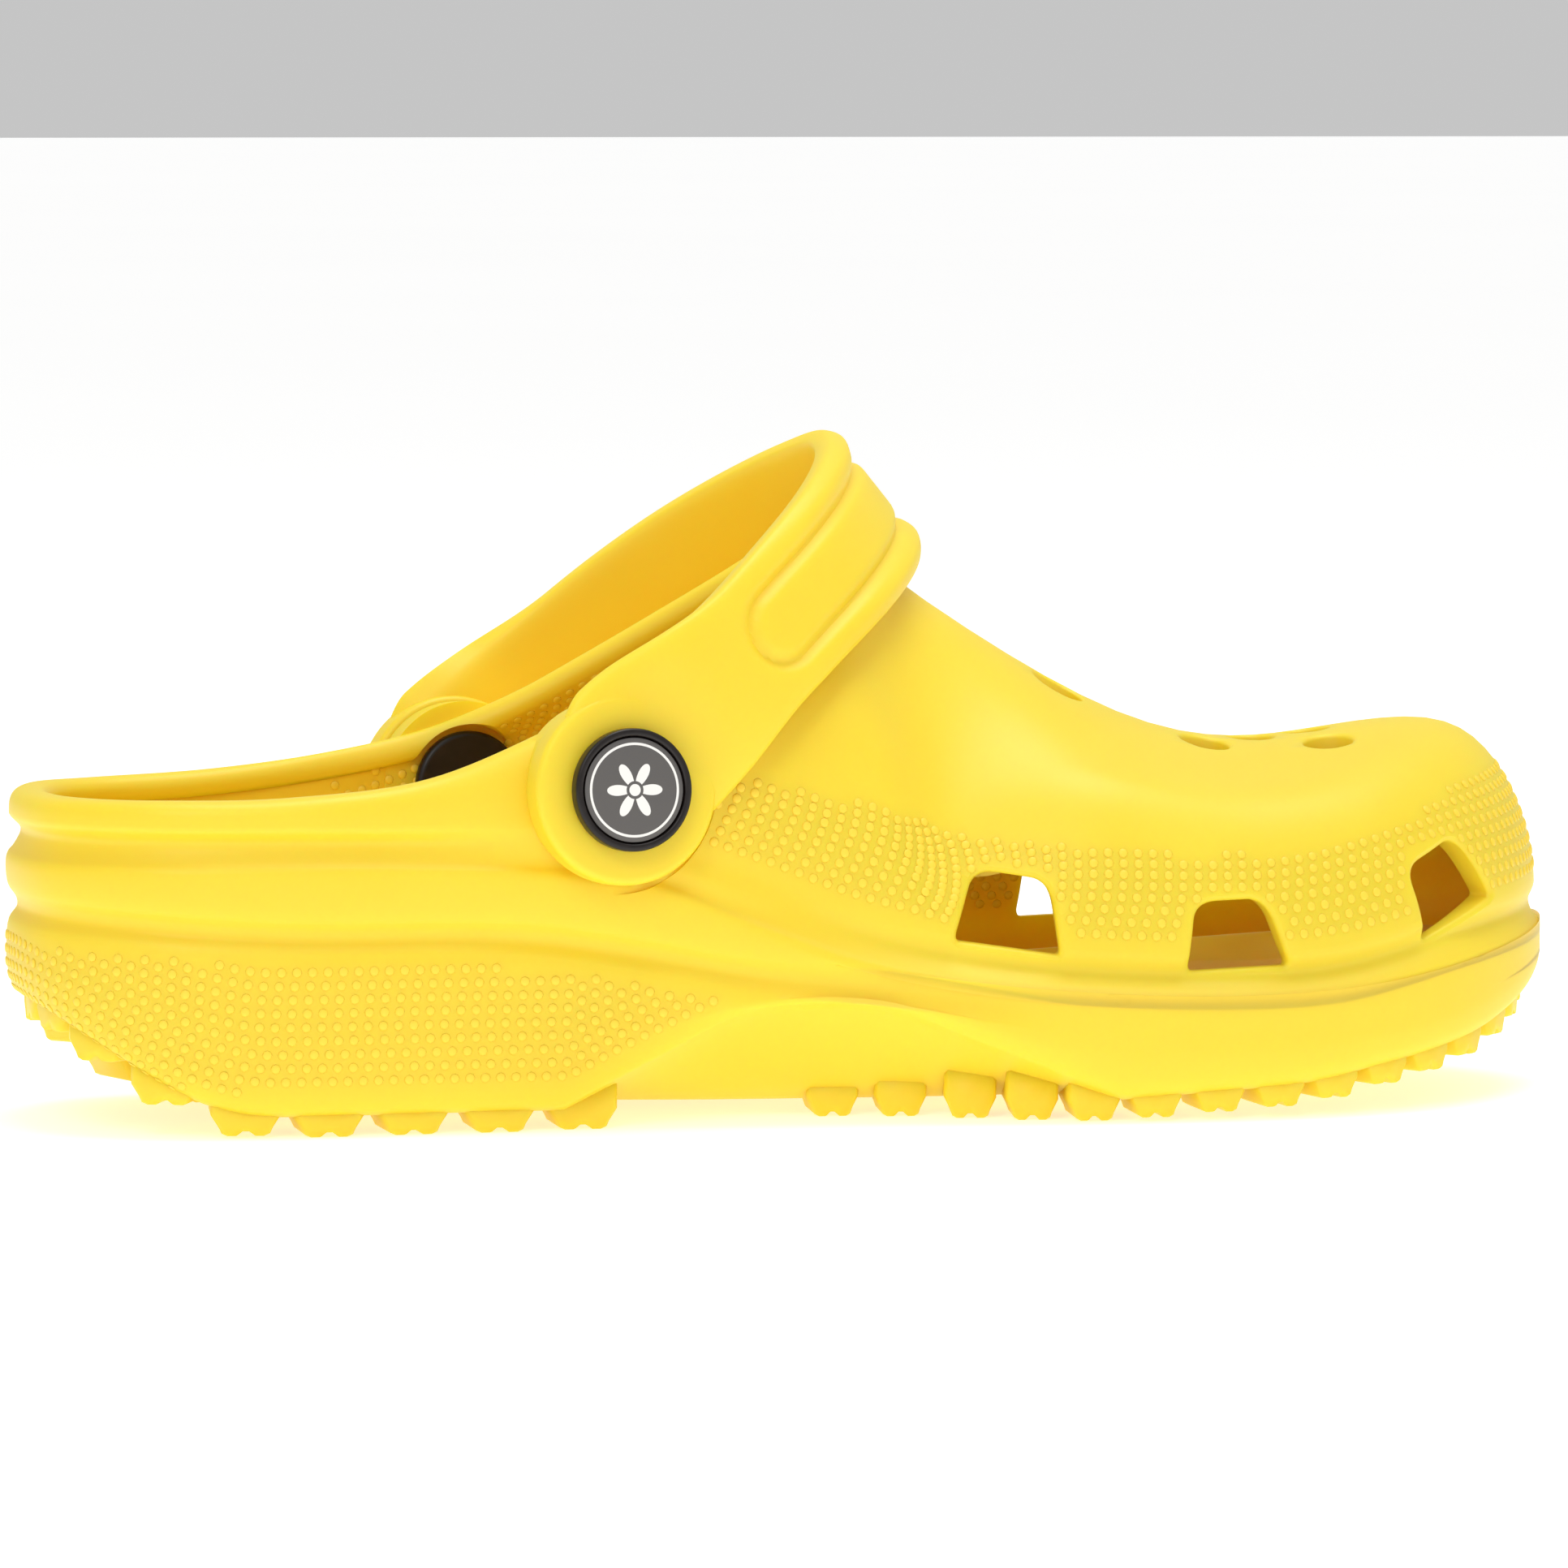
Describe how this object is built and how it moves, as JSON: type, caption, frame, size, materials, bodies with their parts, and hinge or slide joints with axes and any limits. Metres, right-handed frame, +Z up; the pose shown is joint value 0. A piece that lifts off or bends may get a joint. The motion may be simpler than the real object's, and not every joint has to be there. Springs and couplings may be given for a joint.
{
  "type": "garden clog",
  "caption": "Left moulded foam garden clog with a vented toe box, lugged sole and a swinging heel strap held by snap rivets.",
  "frame": {"origin": "centre of the overall box in plan, on the ground the lugs stand on", "axes": "+X to the toe, +Z up, +Y to the outer (lateral) side of this left clog"},
  "size_m": [0.272, 0.1074, 0.1153],
  "materials": {
    "clog_foam": "satin moulded closed-cell foam",
    "strap_foam": "satin moulded closed-cell foam",
    "rivet_plastic": "glossy moulded black",
    "badge_print": "printed satin disc"
  },
  "bodies": {
    "clog": {"clog_body": "clog_foam"},
    "strap": {"heel_strap": "strap_foam"},
    "medial_rivet": {"medial_rivet_button": "rivet_plastic", "medial_rivet_badge": "badge_print", "medial_rivet_cap": "rivet_plastic"},
    "lateral_rivet": {"lateral_rivet_button": "rivet_plastic", "lateral_rivet_badge": "badge_print", "lateral_rivet_cap": "rivet_plastic"}
  },
  "joints": [
    {"name": "strap_swing", "type": "hinge", "parent": "clog", "child": "strap", "pos_m": [-0.0448, -0.00016, 0.0549], "axis": [0.1232, -0.9902, 0.0665], "range_deg": [0, 114]},
    {"name": "medial_rivet_turn", "type": "hinge", "parent": "clog", "child": "medial_rivet", "pos_m": [-0.0448, -0.00016, 0.0549], "axis": [0.1232, -0.9902, 0.0665], "continuous": true},
    {"name": "lateral_rivet_turn", "type": "hinge", "parent": "clog", "child": "lateral_rivet", "pos_m": [-0.0448, -0.00016, 0.0549], "axis": [0.1232, -0.9902, 0.0665], "continuous": true}
  ]
}
